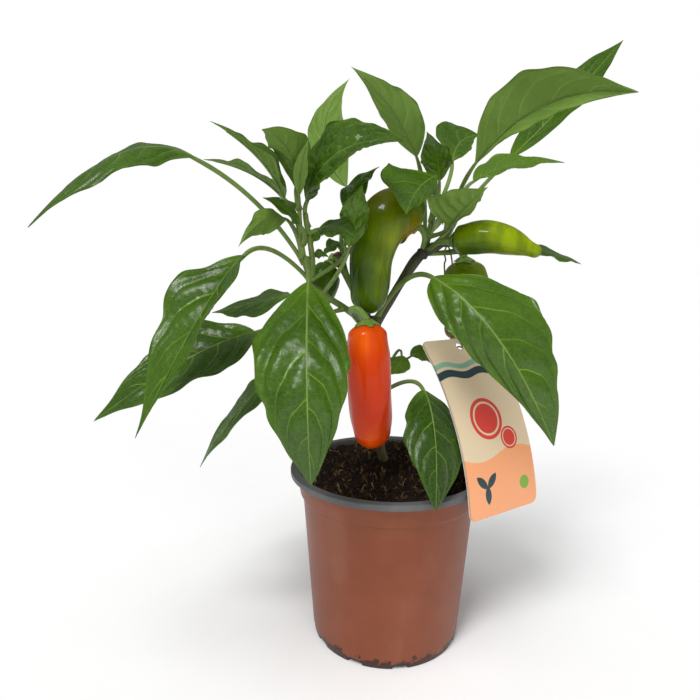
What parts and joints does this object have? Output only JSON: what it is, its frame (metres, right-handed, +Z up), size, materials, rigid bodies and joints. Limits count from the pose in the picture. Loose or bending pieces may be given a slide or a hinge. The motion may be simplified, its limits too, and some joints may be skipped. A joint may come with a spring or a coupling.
{
  "type": "potted pepper plant",
  "caption": "Young snack-pepper plant with ripe and green fruit, growing in soil in a plastic nursery pot, with a bent hang tag tied to it.",
  "frame": {"origin": "middle of the pot's flat base, on the ground", "axes": "+Z up; +Y away from the viewer of the picture; +X to the viewer's right"},
  "size_m": [0.3492, 0.1817, 0.402],
  "materials": {
    "pot_plastic": "satin terracotta-brown outside, grey lip and inside",
    "soil": "loose dark peat with bark crumbs and fibres",
    "stem": "green young wood, dark purple at the forks",
    "leaf": "glossy quilted upper side, paler matt underside",
    "ripe_fruit": "smooth glossy orange-red skin",
    "green_fruit": "smooth glossy green skin with an olive blush",
    "fruit_stalk": "ribbed green stalk and cap",
    "tag_card": "thin printed plastic card, cream above and orange below",
    "tie_wire": "brown coated wire"
  },
  "bodies": {
    "root": {"pot": "pot_plastic", "soil": "soil", "stem": "stem", "leaf_left_1": "leaf", "leaf_left_2": "leaf", "leaf_left_3": "leaf", "leaf_left_4": "leaf", "leaf_back_1": "leaf", "leaf_left_5": "leaf", "leaf_left_6": "leaf", "leaf_left_7": "leaf", "leaf_left_8": "leaf", "leaf_left_9": "leaf", "leaf_left_10": "leaf", "leaf_front_left": "leaf", "leaf_left_11": "leaf", "leaf_right_1": "leaf", "leaf_right_2": "leaf", "leaf_right_3": "leaf", "leaf_right_4": "leaf", "leaf_right_5": "leaf", "leaf_right_6": "leaf", "leaf_right_7": "leaf", "leaf_right_8": "leaf", "leaf_front_right": "leaf", "leaf_low_right": "leaf", "leaf_right_9": "leaf", "leaf_centre_1": "leaf", "leaf_centre_2": "leaf", "leaf_centre_3": "leaf", "leaf_centre_4": "leaf", "ripe_pepper": "ripe_fruit", "ripe_pepper_stalk": "fruit_stalk", "green_pepper_large": "green_fruit", "green_pepper_large_stalk": "fruit_stalk", "green_pepper_right": "green_fruit", "green_pepper_right_stalk": "fruit_stalk", "green_pepper_back": "green_fruit", "green_pepper_back_stalk": "fruit_stalk", "green_pepper_small": "green_fruit", "green_pepper_small_stalk": "fruit_stalk", "hang_tag": "tag_card", "tag_tie": "tie_wire"}
  },
  "joints": []
}
